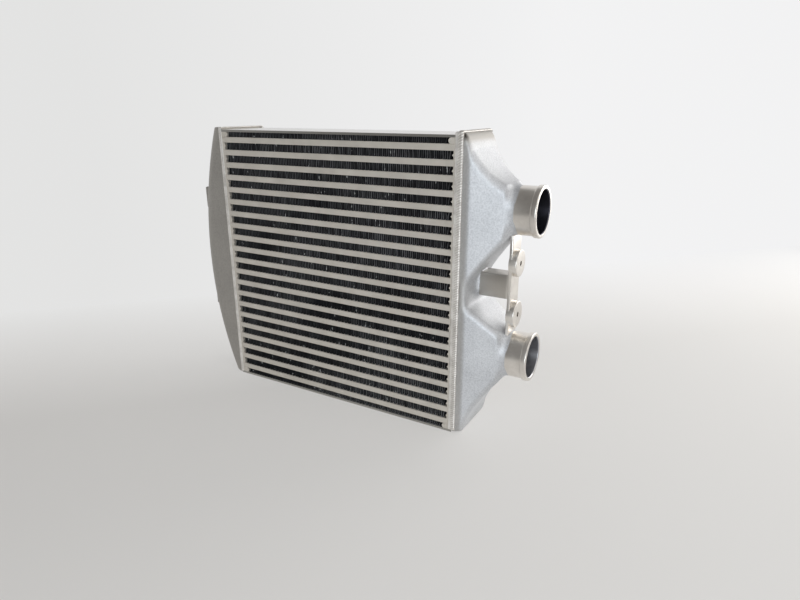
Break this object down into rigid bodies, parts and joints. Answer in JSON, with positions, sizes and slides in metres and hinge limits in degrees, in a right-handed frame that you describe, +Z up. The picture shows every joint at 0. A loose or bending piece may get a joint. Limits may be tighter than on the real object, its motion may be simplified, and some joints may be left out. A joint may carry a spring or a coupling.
{
  "type": "intercooler",
  "caption": "Bar-and-plate charge-air cooler with folded fins, an arched return tank and a cast tank with an inlet and an outlet stub side by side.",
  "frame": {"origin": "middle of the core's underside, where the cooler stands", "axes": "+X along the charge passages towards the hose stubs, +Y through the depth of the core, +Z up"},
  "size_m": [0.3412, 0.0598, 0.2514],
  "materials": {
    "core_bars": "satin, brazed",
    "cooling_fins": "dark, thin foil",
    "casting": "sand-cast, blasted",
    "weld": "rippled weld"
  },
  "bodies": {
    "root": {"bottom_plate": "core_bars", "top_plate": "core_bars", "end_bars_return_side": "core_bars", "end_bars_port_side": "core_bars", "charge_tube_01": "core_bars", "charge_tube_02": "core_bars", "charge_tube_03": "core_bars", "charge_tube_04": "core_bars", "charge_tube_05": "core_bars", "charge_tube_06": "core_bars", "charge_tube_07": "core_bars", "charge_tube_08": "core_bars", "charge_tube_09": "core_bars", "charge_tube_10": "core_bars", "charge_tube_11": "core_bars", "charge_tube_12": "core_bars", "charge_tube_13": "core_bars", "charge_tube_14": "core_bars", "charge_tube_15": "core_bars", "charge_tube_16": "core_bars", "charge_tube_17": "core_bars", "charge_tube_18": "core_bars", "charge_tube_19": "core_bars", "charge_tube_20": "core_bars", "charge_tube_21": "core_bars", "ambient_fin_01": "cooling_fins", "ambient_fin_02": "cooling_fins", "ambient_fin_03": "cooling_fins", "ambient_fin_04": "cooling_fins", "ambient_fin_05": "cooling_fins", "ambient_fin_06": "cooling_fins", "ambient_fin_07": "cooling_fins", "ambient_fin_08": "cooling_fins", "ambient_fin_09": "cooling_fins", "ambient_fin_10": "cooling_fins", "ambient_fin_11": "cooling_fins", "ambient_fin_12": "cooling_fins", "ambient_fin_13": "cooling_fins", "ambient_fin_14": "cooling_fins", "ambient_fin_15": "cooling_fins", "ambient_fin_16": "cooling_fins", "ambient_fin_17": "cooling_fins", "ambient_fin_18": "cooling_fins", "ambient_fin_19": "cooling_fins", "ambient_fin_20": "cooling_fins", "ambient_fin_21": "cooling_fins", "ambient_fin_22": "cooling_fins", "return_tank": "casting", "ported_tank": "casting", "weld_bead_return_side": "weld", "weld_bead_port_side": "weld"}
  },
  "joints": []
}
